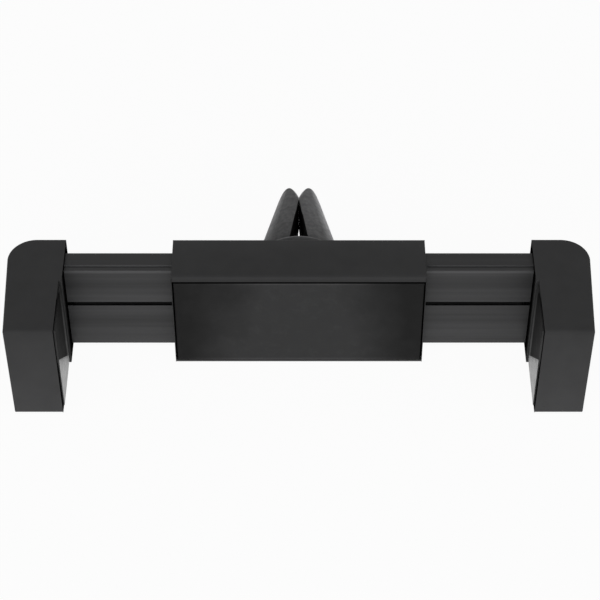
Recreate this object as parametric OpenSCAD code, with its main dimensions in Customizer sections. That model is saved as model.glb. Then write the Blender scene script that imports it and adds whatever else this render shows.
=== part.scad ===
// Air vent phone holder: two sprung jaws on a housing that swivels on a four-prong vent clip.
// X runs along the jaws, +Y points into the air vent, +Z is up. All sizes are in millimetres.
// The origin is on the swivel axis, at the bottom of the slot between the clip's prongs.
// The jaws are drawn fully open.

/* [Housing] */
// Width of the housing, along the jaws
housing_w = 50.6; // [48:0.2:56]
// Height of the housing and of the jaws
housing_h = 24.4; // [24:0.2:28]
// Thickness of the top and bottom walls
housing_wall = 0.9; // [0.7:0.1:1.2]
// Thickness of the end walls that the arms pass through
end_wall = 1.2; // [1:0.1:1.5]
// Thickness of the front wall behind the pad
front_wall = 1.3; // [1:0.1:1.5]
// Thickness of the rear cover
cover_t = 1.5; // [1.3:0.1:1.7]
// Radius of the long front edges
front_edge_r = 1; // [0.5:0.1:1.1]
// Radius of the long rear edges
rear_edge_r = 0.4; // [0.2:0.1:0.6]
// Length of the tabs that hold the rear cover's ends
cover_tab = 0.6; // [0.4:0.1:0.8]
// Height of those tabs
cover_tab_h = 9; // [6:0.5:12]

/* [Front pad] */
// Thickness of the front pad
front_pad_t = 1.3; // [1:0.1:1.5]
// Rim of the housing above and below the front pad
pad_rim = 0.7; // [0.6:0.1:1.5]
// Rim of the housing at each end of the front pad
pad_end_rim = 0.3; // [0.3:0.1:1]
// Open joint line around the front pad
pad_seam = 0.4; // [0.2:0.05:0.5]

/* [Arms] */
// Depth of the arms' front face behind the housing's front face
arm_front = 4; // [3.8:0.1:4.2]
// Depth of an arm, front to back
arm_d = 4.6; // [4.4:0.1:4.7]
// Thickness of an arm's front plate
arm_plate = 1.2; // [1:0.1:1.3]
// Thickness of the skin over the spring channels, at an arm's back
arm_skin = 0.5; // [0.4:0.05:0.6]
// Step from an arm's top edge down to its front plate
arm_step = 0.45; // [0.2:0.05:0.6]
// Height of the slit between an arm's two rails
slit_h = 0.9; // [0.6:0.1:1.2]
// Height of the slit's middle above the housing's middle
slit_z = 1.35; // [1:0.05:1.7]
// Length of rail left in the housing when the jaws are open
rail_grip = 2.3; // [1.8:0.1:2.6]
// Half the gap between the two arms when the jaws are closed
half_gap = 2; // [1.9:0.1:2.4]
// Length of arm held in a jaw
arm_in_jaw = 8.4; // [7:0.1:9]
// Gap between a closed jaw and the housing's end
closed_gap = 0.5; // [0.2:0.1:1.2]

/* [Jaws] */
// Width of a jaw at its widest
jaw_w = 11.3; // [10.3:0.1:14]
// Reach of a jaw in front of the housing
jaw_reach = 13.8; // [10:0.2:18]
// Step from a jaw's base to its gripping face
jaw_step = 0.6; // [0.4:0.1:1]
// Narrowing of a jaw from its back to its front
jaw_taper = 1; // [0:0.1:1.5]
// Radius of a jaw's rear outer corner
jaw_corner_r = 5.5; // [4:0.5:7]
// Radius of a jaw's long edges
jaw_edge_r = 0.9; // [0.5:0.1:1]
// Wall of a jaw's hollow shell
jaw_wall = 1.2; // [1:0.1:1.5]
// Thickness of the web between a jaw's hollow and its arm socket
jaw_web = 3; // [2:0.1:3.2]
// Thickness of a jaw's pad
jaw_pad_t = 1.2; // [0.8:0.1:1.5]
// Rim of the jaw around its pad
jaw_rim = 1; // [0.8:0.1:1.5]
// Open joint line around a jaw's pad
jaw_seam = 0.2; // [0.1:0.05:0.3]
// Height that a jaw's pad stands proud of its rim
jaw_pad_proud = 0.3; // [0.1:0.1:0.4]
// Thickness of the ribs behind a jaw's pad
jaw_rib = 0.9; // [0.7:0.1:1.2]

/* [Synchronising gear] */
// Tooth module of the pinion and the racks
tooth_module = 0.6; // [0.55:0.01:0.62]
// Number of teeth on the pinion
pinion_teeth = 12; // [10:2:14]
// Pressure angle of the teeth
pressure_angle = 25; // [25:1:28]
// Play between mating teeth
backlash = 0.12; // [0.08:0.01:0.16]
// Radius of the boss that the pinion turns on
pinion_boss_r = 1.7; // [1.6:0.05:1.8]
// Thickness of the pinion and the racks
rack_t = 1.15; // [0.9:0.05:1.5]

/* [Return springs] */
// Outer diameter of a return spring
spring_od = 2.5; // [2.2:0.1:2.6]
// Diameter of the spring wire
spring_wire = 0.45; // [0.35:0.05:0.5]
// Number of turns in a spring
spring_turns = 36; // [30:1:40]
// Height of the springs above and below the housing's middle
spring_z = 5.9; // [5.8:0.05:6]
// Distance of a spring pin from a jaw's base
pin_inset = 5.8; // [5:0.1:8]
// Radius of a spring pin
pin_r = 0.4; // [0.35:0.05:0.45]
// Distance from a spring's hook to its first turn
hook_neck = 2.2; // [1.8:0.1:3]

/* [Screws] */
// Radius of the screws that hold the rear cover and the jaws
screw_r = 0.7; // [0.6:0.05:0.8]
// Radius of their heads
screw_head_r = 1.25; // [1.1:0.05:1.3]
// Depth of their heads
screw_head_t = 0.7; // [0.6:0.05:0.8]
// Length of a screw
screw_len = 5; // [4:0.5:5]
// Radius of the bosses that the cover screws enter
screw_boss_r = 1.5; // [1.3:0.05:1.6]
// Distance of the cover screws from the inside of the top and bottom walls
cover_screw_inset = 1.8; // [1.6:0.05:2]
// Height of the jaw screws above and below the housing's middle
jaw_screw_z = 6.5; // [4:0.5:8]

/* [Swivel] */
// Radius of the pivot screw
pivot_r = 1; // [0.8:0.05:1.1]
// Radius of the pivot screw's head
pivot_head_r = 2.4; // [2.2:0.05:2.5]
// Thickness of the pivot screw's head
pivot_head_t = 0.9; // [0.7:0.1:1.1]
// Thickness of the washer under that head
pivot_washer_t = 0.3; // [0.2:0.05:0.4]
// Radius of the turntable behind the housing
turntable_r = 7.8; // [7.4:0.1:7.9]
// Thickness of the turntable
turntable_t = 2.2; // [1.8:0.1:2.6]
// Inner radius of the friction ring
friction_ring_in = 4; // [3:0.1:4.5]
// Outer radius of the friction ring
friction_ring_out = 6.8; // [6:0.1:7]
// Depth of the groove that the friction ring sits in
friction_groove = 0.4; // [0.3:0.05:0.6]

/* [Clip] */
// Radius of the clip's flange
flange_r = 9.7; // [9.5:0.1:11]
// Thickness of the clip's flange
flange_t = 1.35; // [1.1:0.05:1.8]
// Chamfer on the flange's rear edge
flange_chamfer = 0.3; // [0.2:0.05:0.5]
// Radius of the rubber prongs at their root
prong_root_r = 9.1; // [8.8:0.1:9.4]
// Radius of the rubber prongs at their tips
prong_tip_r = 3.9; // [3.8:0.1:5]
// Length of the prongs from the bottom of the slot
prong_len = 20.7; // [18:0.1:24]
// Distance from the slot's bottom to where the prongs touch
touch_len = 16; // [14:0.1:17]
// Width of the upright slot at its bottom
upright_slot = 3.9; // [3:0.1:4.5]
// Width of the level slot at its bottom
level_slot = 3; // [2:0.1:4]
// Gap between two prongs where they touch
touch_gap = 0.1; // [0.06:0.02:0.2]
// Radius of the stiff core at the prongs' root
core_root_r = 5.4; // [5.2:0.1:6]
// Radius of the stiff core at the prongs' tips
core_tip_r = 3.2; // [3:0.1:3.4]
// Length of the stiff fingers in the prongs
finger_len = 17.5; // [14:0.5:17.5]
// Rubber over the fingers' slot faces
slot_skin = 0.8; // [0.6:0.1:1]
// Distance of a prong's crest from the slot's middle
crest = 2; // [1.8:0.1:2.4]
// Curve of a prong's inner face from the touch to the crest: 1 is straight, 2 is round
nose_curve = 1.3; // [1:0.1:2]

/* [Clearances] */
// Gap around an arm in its mouth, and between sliding faces
slide_clear = 0.1; // [0.06:0.01:0.12]
// Radial gap of a turning fit
turn_clear = 0.05; // [0.03:0.01:0.08]
// Gap between an arm and the rack that passes behind it
layer_gap = 0.15; // [0.1:0.01:0.18]
// Gap around a spring in its channel
spring_gap = 0.3; // [0.2:0.05:0.4]
// Gap between a rack and the bosses of the cover screws
boss_gap = 0.3; // [0.2:0.05:0.5]
// Gap between the arms' rails and the pivot screw's head
pivot_gap = 0.3; // [0.2:0.05:0.4]

/* [Hidden] */
$fn = 64;
cut = 1;
lap = 0.1;
half_w = housing_w / 2;
half_h = housing_h / 2;
travel = half_w - rail_grip - half_gap;
jaw_x = half_w + closed_gap + travel;

inside_h = half_h - housing_wall;
cavity_x = half_w - end_wall;
cavity_y = front_pad_t + front_wall;
cover_screw_z = inside_h - cover_screw_inset;

arm_half_h = inside_h - slide_clear;
arm_back = arm_front + arm_d;
arm_in_x = half_w - rail_grip;
arm_out_x = jaw_x + arm_in_jaw;
rack_y = arm_back + layer_gap;
rack_top = cover_screw_z - screw_boss_r - boss_gap;
rack_root_x = cavity_x - slide_clear;

cover_y = rack_y + rack_t + slide_clear;
housing_d = cover_y + cover_t;
front_y = -(housing_d + slide_clear + turntable_t + flange_t);

pitch = PI * tooth_module;
pinion_r = tooth_module * pinion_teeth / 2;
addendum = 0.85 * tooth_module;
dedendum = 1.1 * tooth_module;
rack_root_half = pitch / 4 - backlash / 4 + dedendum * tan(pressure_angle);
rack_teeth = floor((arm_in_x - rack_root_half) / pitch + 0.5);
rack_tip_x = pitch + slide_clear;

pin_x = jaw_x - pin_inset;
channel_h = spring_od + 2 * spring_gap;
channel_y = arm_front + arm_plate;
channel_back = arm_back - arm_skin;
spring_y = (channel_y + channel_back) / 2;
hook_r = pin_r + spring_wire / 2 + slide_clear;

boss_end_y = arm_back + layer_gap / 2;
pivot_clear_r = pivot_head_r + pivot_gap;
jaw_screw_x = arm_in_jaw / 2;

// Places a shape whose Y is counted from the housing's front face.
module behind_front() {
    translate([0, front_y, 0]) children();
}

// Turns a shape for the right-hand side, side = 1, into the one for side = -1.
module on_side(side) {
    mirror([side < 0 ? 1 : 0, 0, 0]) children();
}

// Extrudes an outline drawn in (y, z) along X, from x0 to x1.
module along_x(x0, x1) {
    translate([x0, 0, 0]) rotate([90, 0, 90]) linear_extrude(x1 - x0) children();
}

// Extrudes an outline drawn in (x, z) along Y, from y0 to y1.
module along_y(y0, y1) {
    translate([0, y1, 0]) rotate([90, 0, 0]) linear_extrude(y1 - y0) children();
}

// A box from one corner to the opposite one.
module block(low, high) {
    translate(low) cube(high - low);
}

// A round bar along Y.
module bar_y(x, z, y0, y1, r) {
    translate([x, y0, z]) rotate([-90, 0, 0]) cylinder(h = y1 - y0, r = r);
}

// A rectangle with one radius at its low corners and another at its high ones.
module soft_rect(low, high, r_low, r_high) {
    translate([low.x + r_low, low.y]) square([high.x - low.x - r_low - r_high, high.y - low.y]);
    translate([low.x, low.y + r_low]) square([r_low, high.y - low.y - 2 * r_low]);
    translate([high.x - r_high, low.y + r_high]) square([r_high, high.y - low.y - 2 * r_high]);
    for (y = [low.y + r_low, high.y - r_low]) translate([low.x + r_low, y]) circle(r_low);
    for (y = [low.y + r_high, high.y - r_high]) translate([high.x - r_high, y]) circle(r_high);
}

// A countersunk screw along Y: its head's face lies at y and its shank points towards dir.
module screw(x, z, y, dir) {
    difference() {
        translate([x, y, z]) rotate([-90 * dir, 0, 0]) {
            cylinder(h = screw_head_t, r1 = screw_head_r, r2 = screw_r);
            cylinder(h = screw_len, r = screw_r);
        }
        for (turn = [0, 90]) {
            translate([x, y, z]) rotate([0, turn, 0])
                cube([screw_head_r, screw_head_t, screw_r / 2], center = true);
        }
    }
}

// The hole for such a screw.
module screw_hole(x, z, y, dir) {
    translate([x, y, z]) rotate([-90 * dir, 0, 0]) {
        translate([0, 0, -cut]) cylinder(h = cut, r = screw_head_r);
        cylinder(h = screw_head_t, r1 = screw_head_r, r2 = screw_r);
        cylinder(h = screw_len + slide_clear, r = screw_r);
    }
}

// Housing: shell, pad and rear cover

module pad_outline(gap) {
    x = half_w - pad_end_rim - gap;
    z = half_h - pad_rim - gap;
    translate([-x, -z]) square([2 * x, 2 * z]);
}

module cover_tabs(gap) {
    for (side = [-1, 1]) {
        on_side(side) block(
            [cavity_x - cut, cover_y - gap, -cover_tab_h / 2 - gap],
            [cavity_x + cover_tab + gap, cover_y + cover_t / 2 + gap, cover_tab_h / 2 + gap]);
    }
}

module housing_shell() {
    color([0.19, 0.19, 0.2]) behind_front() difference() {
        union() {
            difference() {
                along_x(-half_w, half_w)
                    soft_rect([0, -half_h], [housing_d, half_h], front_edge_r, rear_edge_r);
                along_y(-cut, front_pad_t) pad_outline(0);
                block([-cavity_x, cavity_y, -inside_h], [cavity_x, housing_d + cut, inside_h]);
                block([-half_w - cut, arm_front - slide_clear, -inside_h],
                    [half_w + cut, arm_back + slide_clear, inside_h]);
            }
            for (up = [0, 1]) mirror([0, 0, up]) {
                bar_y(0, cover_screw_z, cavity_y - lap, cover_y, screw_boss_r);
                block([-screw_boss_r, cavity_y - lap, cover_screw_z],
                    [screw_boss_r, cover_y, inside_h + lap]);
            }
        }
        for (side = [-1, 1]) screw_hole(0, side * cover_screw_z, housing_d, -1);
        cover_tabs(turn_clear);
    }
}

module front_pad() {
    color([0.2, 0.2, 0.21]) behind_front() along_y(0, front_pad_t) pad_outline(pad_seam);
}

module rear_cover() {
    x = cavity_x - turn_clear;
    z = inside_h - turn_clear;
    color([0.17, 0.17, 0.18]) behind_front() difference() {
        union() {
            block([-x, cover_y, -z], [x, housing_d, z]);
            cover_tabs(0);
            bar_y(0, 0, boss_end_y, cover_y + lap, pinion_boss_r);
        }
        bar_y(0, 0, 0, housing_d + cut, pivot_r + turn_clear);
        difference() {
            bar_y(0, 0, housing_d - friction_groove, housing_d + cut, friction_ring_out);
            bar_y(0, 0, 0, housing_d + 2 * cut, friction_ring_in);
        }
        for (side = [-1, 1]) screw_hole(0, side * cover_screw_z, housing_d, -1);
    }
}

module cover_screws() {
    color([0.62, 0.62, 0.64]) behind_front() {
        for (side = [-1, 1]) screw(0, side * cover_screw_z, housing_d, -1);
    }
}

// Pinion and racks

function involute(angle) = tan(angle) - angle * PI / 180;

// Half the angle that a pinion tooth fills at radius r.
function half_tooth(r) = 90 / pinion_teeth - backlash / 4 / pinion_r * 180 / PI
    + (involute(pressure_angle) - involute(acos(pinion_base_r() / max(r, pinion_base_r())))) * 180 / PI;
function pinion_base_r() = pinion_r * cos(pressure_angle);
function polar(r, angle) = [r * sin(angle), r * cos(angle)];

// One tooth's flanks, clockwise from the +Z side, with the root on either side.
function tooth_points(i) = let (
    mid = 360 * i / pinion_teeth,
    root = pinion_r - dedendum,
    tip = pinion_r + addendum,
    steps = 5,
    radii = [for (k = [0:steps]) pinion_base_r() + (tip - pinion_base_r()) * k / steps]
) concat(
    [polar(root, mid - half_tooth(root))],
    [for (r = radii) polar(r, mid - half_tooth(r))],
    [for (k = [steps:-1:0]) polar(radii[k], mid + half_tooth(radii[k]))],
    [polar(root, mid + half_tooth(root))]
);

module pinion() {
    points = [for (i = [0:pinion_teeth - 1]) each tooth_points(i)];
    color([0.85, 0.85, 0.82]) behind_front() difference() {
        along_y(rack_y, rack_y + rack_t) polygon(points);
        bar_y(0, 0, rack_y - cut, rack_y + rack_t + cut, pinion_boss_r + turn_clear);
    }
}

// The four corners of a rack tooth with its middle at x, from the root up to the tip and back.
function rack_tooth(x) = let (
    half = pitch / 4 - backlash / 4,
    lean = tan(pressure_angle)
) [
    [x - half - dedendum * lean, pinion_r + dedendum],
    [x - half + addendum * lean, pinion_r - addendum],
    [x + half - addendum * lean, pinion_r - addendum],
    [x + half + dedendum * lean, pinion_r + dedendum]
];

// The rack of the arm on the left, above the pinion; it reaches past the middle.
module rack_outline() {
    teeth = [for (i = [rack_teeth - 1:-1:-1]) each rack_tooth(-(i + 0.5) * pitch)];
    polygon(concat(
        [[-rack_root_x, rack_top], [-rack_root_x, pinion_r + dedendum]],
        teeth,
        [[rack_tip_x, pinion_r + dedendum], [rack_tip_x, rack_top]]
    ));
}

// Arms: two rails with a rack on a tongue behind them

module arm_outline() {
    z = arm_half_h;
    translate([arm_front, -z + arm_step]) square([arm_plate + lap, 2 * (z - arm_step)]);
    translate([arm_front + arm_plate, -z]) square([arm_d - arm_plate, 2 * z]);
}

// The rails of the arm on the right, rack_side = 1 when its rack is above the pinion.
module arm(rack_side) {
    difference() {
        union() {
            along_x(arm_in_x, arm_out_x) arm_outline();
            mirror([1, 0, 0]) mirror([0, 0, rack_side < 0 ? 1 : 0]) {
                along_y(rack_y, rack_y + rack_t) rack_outline();
                block([-rack_root_x, arm_back - lap, pinion_r + dedendum],
                    [-arm_in_x, rack_y + rack_t, arm_half_h - slide_clear]);
            }
        }
        block([arm_in_x - cut, 0, slit_z - slit_h / 2],
            [jaw_x, arm_back + layer_gap / 2, slit_z + slit_h / 2]);
        block([arm_in_x - cut, 0, -pivot_clear_r],
            [arm_in_x + pivot_clear_r - half_gap, arm_back + layer_gap / 2, pivot_clear_r]);
        for (side = [-1, 1]) {
            block([arm_in_x - cut, channel_y, side * spring_z - channel_h / 2],
                [pin_x + hook_r + spring_wire, channel_back, side * spring_z + channel_h / 2]);
            bar_y(pin_x, side * spring_z, channel_y - arm_plate / 2, arm_back + cut, pin_r);
            bar_y(jaw_x + jaw_screw_x, side * jaw_screw_z, housing_d - screw_len - slide_clear,
                arm_back + cut, screw_r);
        }
    }
}

module left_arm() {
    color([0.25, 0.25, 0.26]) behind_front() on_side(-1) arm(1);
}

module right_arm() {
    color([0.25, 0.25, 0.26]) behind_front() arm(-1);
}

module spring_pins(side) {
    color([0.7, 0.7, 0.72]) behind_front() on_side(side) {
        for (up = [-1, 1]) {
            bar_y(pin_x, up * spring_z, channel_y - arm_plate / 2, arm_back, pin_r);
        }
    }
}

module left_spring_pins() {
    spring_pins(-1);
}

module right_spring_pins() {
    spring_pins(1);
}

// Return springs: a wire swept along a hook, the turns and a second hook

coil_r = (spring_od - spring_wire) / 2;
coil_half = pin_x - hook_r - hook_neck;
wire_sides = 5;
turn_steps = 8;
hook_steps = 9;
hook_start = 215;
hook_sweep = 270;

function unit(v) = v / norm(v);

// A point of the turns, u = 0 to 1, with the first and last half turn drawn in to the axis.
function coil_point(u) = let (
    angle = 360 * spring_turns * u,
    r = coil_r * min(1, 2 * spring_turns * u, 2 * spring_turns * (1 - u))
) [coil_half * (2 * u - 1), r * cos(angle), r * sin(angle)];

// A point of the hook round the right pin, v = 0 to 1.
function hook_point(v) = let (angle = hook_start + hook_sweep * v)
    [pin_x + hook_r * cos(angle), 0, hook_r * sin(angle)];

function wire_path() = concat(
    [for (k = [hook_steps:-1:0]) let (p = hook_point(k / hook_steps)) [-p.x, p.y, -p.z]],
    [for (k = [0:spring_turns * turn_steps]) coil_point(k / (spring_turns * turn_steps))],
    [for (k = [0:hook_steps]) hook_point(k / hook_steps)]
);

// A direction across the wire at point i: outwards on the turns, +Y on the hooks.
function across(i) = let (
    k = i - hook_steps - 1,
    on_coil = k >= 0 && k <= spring_turns * turn_steps,
    angle = 360 * k / turn_steps
) on_coil ? [0, cos(angle), sin(angle)] : [0, 1, 0];

module spring(up) {
    path = wire_path();
    last = len(path) - 1;
    rings = [for (i = [0:last]) let (
        along = unit(path[min(i + 1, last)] - path[max(i - 1, 0)]),
        out = unit(across(i) - along * (across(i) * along)),
        side = cross(along, out)
    ) for (j = [0:wire_sides - 1]) let (a = 360 * j / wire_sides)
        path[i] + spring_wire / 2 * (out * cos(a) + side * sin(a))];
    walls = [for (i = [0:last - 1], j = [0:wire_sides - 1]) let (
        a = i * wire_sides + j,
        b = i * wire_sides + (j + 1) % wire_sides
    ) each [[a, b, b + wire_sides], [a, b + wire_sides, a + wire_sides]]];
    ends = [
        [for (j = [wire_sides - 1:-1:0]) j],
        [for (j = [0:wire_sides - 1]) last * wire_sides + j]
    ];
    color([0.72, 0.72, 0.74]) behind_front() translate([0, spring_y, up * spring_z])
        polyhedron(points = rings, faces = concat(walls, ends));
}

module upper_spring() {
    spring(1);
}

module lower_spring() {
    spring(-1);
}

// Jaws: a hollow shell, a pad on its gripping face and two screws

jaw_front_w = jaw_w - jaw_taper;
pad_x = jaw_step + jaw_pad_t;
hollow_back = arm_front - jaw_web;

// A jaw seen from above, x from its base's inner face outwards, y from the housing's front.
module jaw_outline() {
    r = jaw_corner_r;
    polygon([[0, 0], [jaw_step, 0], [jaw_step, -jaw_reach], [jaw_front_w, -jaw_reach],
        [jaw_w, housing_d - r], [jaw_w - r, housing_d], [0, housing_d]]);
    translate([jaw_w - r, housing_d - r]) circle(r);
}

module jaw_form() {
    intersection() {
        linear_extrude(housing_h, center = true) jaw_outline();
        along_x(-cut, jaw_w + cut)
            soft_rect([-jaw_reach, -half_h], [housing_d, half_h], jaw_edge_r, rear_edge_r);
        along_y(-jaw_reach - cut, housing_d + cut)
            soft_rect([-jaw_w, -half_h], [jaw_w, half_h], rear_edge_r, rear_edge_r);
    }
}

// The pad's face, y then z, with a gap all round.
module jaw_pad_outline(gap) {
    y0 = -jaw_reach + jaw_rim + gap;
    z = half_h - jaw_rim - gap;
    translate([y0, -z]) square([-jaw_seam - gap - y0, 2 * z]);
}

module jaw_hollow() {
    z = half_h - jaw_rim - jaw_wall;
    y0 = -jaw_reach + jaw_rim + jaw_wall;
    difference() {
        linear_extrude(2 * z, center = true) polygon([
            [pad_x - lap, y0], [jaw_front_w - jaw_wall, y0],
            [jaw_w - jaw_wall - jaw_taper / 2, hollow_back], [pad_x - lap, hollow_back]
        ]);
        for (side = [-1, 1]) {
            block([0, -jaw_reach, side * z / 3 - jaw_rib / 2],
                [jaw_w, hollow_back + cut, side * z / 3 + jaw_rib / 2]);
        }
    }
}

module jaw_shell(side) {
    color([0.2, 0.2, 0.21]) behind_front() on_side(side) translate([jaw_x, 0, 0]) difference() {
        jaw_form();
        along_x(jaw_step - cut, pad_x) jaw_pad_outline(0);
        jaw_hollow();
        along_x(-cut, arm_in_jaw) arm_outline();
        for (up = [-1, 1]) screw_hole(jaw_screw_x, up * jaw_screw_z, housing_d, -1);
    }
}

module jaw_pad(side) {
    color([0.16, 0.16, 0.17]) behind_front() on_side(side) translate([jaw_x, 0, 0])
        along_x(jaw_step - jaw_pad_proud, pad_x) jaw_pad_outline(jaw_seam);
}

module jaw_screws(side) {
    color([0.62, 0.62, 0.64]) behind_front() on_side(side) {
        for (up = [-1, 1]) screw(jaw_x + jaw_screw_x, up * jaw_screw_z, housing_d, -1);
    }
}

module left_jaw_shell() {
    jaw_shell(-1);
}

module right_jaw_shell() {
    jaw_shell(1);
}

module left_jaw_pad() {
    jaw_pad(-1);
}

module right_jaw_pad() {
    jaw_pad(1);
}

module left_jaw_screws() {
    jaw_screws(-1);
}

module right_jaw_screws() {
    jaw_screws(1);
}

// Swivel: a screw through the rear cover clamps the turntable against a friction ring

turntable_y = housing_d + slide_clear;
spigot_y = turntable_y + turntable_t;

module pivot_screw() {
    y0 = boss_end_y - pivot_washer_t - pivot_head_t;
    color([0.62, 0.62, 0.64]) behind_front() difference() {
        union() {
            bar_y(0, 0, y0, y0 + pivot_head_t, pivot_head_r);
            bar_y(0, 0, y0, spigot_y + flange_t / 2, pivot_r);
        }
        for (turn = [0, 90]) {
            translate([0, y0, 0]) rotate([0, turn, 0])
                cube([pivot_head_r, pivot_head_t, pivot_r / 2], center = true);
        }
    }
}

module pivot_washer() {
    color([0.8, 0.8, 0.8]) behind_front() difference() {
        bar_y(0, 0, boss_end_y - pivot_washer_t, boss_end_y, pivot_head_r);
        bar_y(0, 0, 0, housing_d, pivot_r);
    }
}

module friction_ring() {
    color([0.3, 0.3, 0.3]) behind_front() difference() {
        bar_y(0, 0, housing_d - friction_groove, turntable_y, friction_ring_out - turn_clear);
        bar_y(0, 0, 0, housing_d + cut, friction_ring_in + turn_clear);
    }
}

// Clip: four stiff fingers on the turntable, each in a rubber boot, and a rubber collar at their root

// A prong pair seen from the side, drawn as (across, y) with y from the slot's bottom.
// gap is the slot's width there, and skin moves the faces in from the slot.
module prong_pair(slot, skin) {
    nose = prong_len - touch_len;
    near = touch_gap / 2 + skin;
    side_r = prong_tip_r + (prong_root_r - prong_tip_r) * crest / prong_len;
    inner = [for (s = [0:0.2:1]) [near + (crest - near) * s, prong_len - nose * pow(1 - s, nose_curve)]];
    outer = [for (a = [15:15:90]) [crest + (side_r - crest) * sin(a), prong_len - crest * (1 - cos(a))]];
    for (side = [0, 1]) mirror([side, 0]) polygon(concat(
        [[2 * flange_r, -cut], [slot / 2 + skin, -cut], [slot / 2 + skin, 0]],
        inner, outer,
        [[2 * flange_r, touch_len]]
    ));
}

module cone_y(r0, r1, length) {
    rotate([-90, 0, 0]) cylinder(h = length, r1 = r0, r2 = r1);
}

// The fingers' form, also cut out of the boots.
module fingers() {
    intersection() {
        translate([0, -lap, 0]) cone_y(core_root_r, core_tip_r, finger_len + lap);
        linear_extrude(4 * flange_r, center = true) prong_pair(upright_slot, slot_skin);
        rotate([0, 90, 0]) linear_extrude(4 * flange_r, center = true) prong_pair(level_slot, slot_skin);
    }
}

module clip_core() {
    color([0.14, 0.14, 0.15]) {
        behind_front() difference() {
            union() {
                bar_y(0, 0, turntable_y, spigot_y, turntable_r);
                bar_y(0, 0, turntable_y, spigot_y + flange_t, core_root_r);
            }
            bar_y(0, 0, 0, spigot_y + flange_t / 2, pivot_r);
        }
        fingers();
    }
}

module clip_collar() {
    color([0.35, 0.35, 0.36]) translate([0, -flange_t, 0]) rotate([-90, 0, 0]) difference() {
        union() {
            cylinder(h = flange_t - flange_chamfer, r = flange_r);
            translate([0, 0, flange_t - flange_chamfer])
                cylinder(h = flange_chamfer, r1 = flange_r, r2 = flange_r - flange_chamfer);
        }
        translate([0, 0, -cut]) cylinder(h = flange_t + 2 * cut, r = core_root_r);
    }
}

module clip_boots() {
    color([0.35, 0.35, 0.36]) difference() {
        intersection() {
            cone_y(prong_root_r, prong_tip_r, prong_len);
            linear_extrude(4 * flange_r, center = true) prong_pair(upright_slot, 0);
            rotate([0, 90, 0]) linear_extrude(4 * flange_r, center = true) prong_pair(level_slot, 0);
        }
        fingers();
    }
}

housing_shell();
front_pad();
rear_cover();
cover_screws();
pinion();
left_arm();
right_arm();
left_spring_pins();
right_spring_pins();
upper_spring();
lower_spring();
left_jaw_shell();
right_jaw_shell();
left_jaw_pad();
right_jaw_pad();
left_jaw_screws();
right_jaw_screws();
friction_ring();
pivot_screw();
pivot_washer();
clip_core();
clip_collar();
clip_boots();
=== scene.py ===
import math

import bmesh
import bpy
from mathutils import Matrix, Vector


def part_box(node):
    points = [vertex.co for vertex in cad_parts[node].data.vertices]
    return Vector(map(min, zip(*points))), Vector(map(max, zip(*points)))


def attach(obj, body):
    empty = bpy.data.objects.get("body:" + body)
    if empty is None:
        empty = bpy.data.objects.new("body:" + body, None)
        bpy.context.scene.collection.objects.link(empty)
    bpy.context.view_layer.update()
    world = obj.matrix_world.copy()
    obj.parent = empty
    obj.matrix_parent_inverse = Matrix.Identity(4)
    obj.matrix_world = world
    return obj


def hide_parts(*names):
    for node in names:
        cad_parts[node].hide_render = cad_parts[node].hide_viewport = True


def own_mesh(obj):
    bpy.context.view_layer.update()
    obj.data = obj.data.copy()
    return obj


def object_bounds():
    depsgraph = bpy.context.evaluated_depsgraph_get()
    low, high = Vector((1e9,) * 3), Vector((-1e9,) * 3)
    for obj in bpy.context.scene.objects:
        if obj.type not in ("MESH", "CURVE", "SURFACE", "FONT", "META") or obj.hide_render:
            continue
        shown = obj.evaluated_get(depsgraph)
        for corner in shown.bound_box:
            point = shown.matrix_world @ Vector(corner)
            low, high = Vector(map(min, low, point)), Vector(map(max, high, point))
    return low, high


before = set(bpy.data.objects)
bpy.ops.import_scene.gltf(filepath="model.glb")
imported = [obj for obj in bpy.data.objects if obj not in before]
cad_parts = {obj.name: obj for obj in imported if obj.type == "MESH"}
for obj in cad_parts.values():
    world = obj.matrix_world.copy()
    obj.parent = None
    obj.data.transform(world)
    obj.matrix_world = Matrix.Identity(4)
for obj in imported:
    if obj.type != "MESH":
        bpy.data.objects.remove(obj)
cadBox = [list(corner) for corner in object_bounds()]
mm = 0.001
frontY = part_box("front_pad")[0].y / mm  # the housing's front face, from which depths are counted
print("frame loaded, front face at y =", round(frontY, 3), "mm")


# Helpers: sizes in millimetres, depths counted from the housing's front face

slack = 0.01  # allowance when edges and faces are picked by their place
over = 1  # how far a cutter reaches past its piece, or a tab into it
lap = 0.1  # how far a joined form, or a second cut, reaches into the first
along = 0.9  # a direction with this share of an axis lies along it
flatAngle = 28  # edges that fold by fewer degrees aren't rounded
smoothAngle = 35  # edges that fold by fewer degrees are shaded smooth
mergeDistance = 0.002  # points closer than this become one


def metres(point):
    return Vector((point[0], point[1] + frontY, point[2])) * mm


def placeOf(point):
    # the way back: millimetres, with the depth counted from the front face
    return point / mm - Vector((0, frontY, 0))


def nodeBox(node):
    return [placeOf(corner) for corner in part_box(node)]


def pickOnly(*pieces):
    if bpy.context.object and bpy.context.object.mode != "OBJECT":
        bpy.ops.object.mode_set(mode="OBJECT")
    bpy.ops.object.select_all(action="DESELECT")
    for piece in pieces:
        piece.select_set(True)
    if pieces:
        bpy.context.view_layer.objects.active = pieces[0]


def settle(piece):
    pickOnly(piece)
    bpy.ops.object.transform_apply(location=True, rotation=True, scale=True)
    return piece


def pointOutwards(piece):
    pickOnly(piece)
    bpy.ops.object.mode_set(mode="EDIT")
    bpy.ops.mesh.select_all(action="SELECT")
    bpy.ops.mesh.normals_make_consistent(inside=False)
    bpy.ops.object.mode_set(mode="OBJECT")


def addBlock(name, low, high):
    pickOnly()
    corners = metres(low), metres(high)
    low, high = (Vector([pick(pair) for pair in zip(*corners)]) for pick in (min, max))
    bpy.ops.mesh.primitive_cube_add(size=1, location=(low + high) / 2)
    piece = bpy.context.object
    piece.name = name
    piece.scale = high - low
    return settle(piece)


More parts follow.
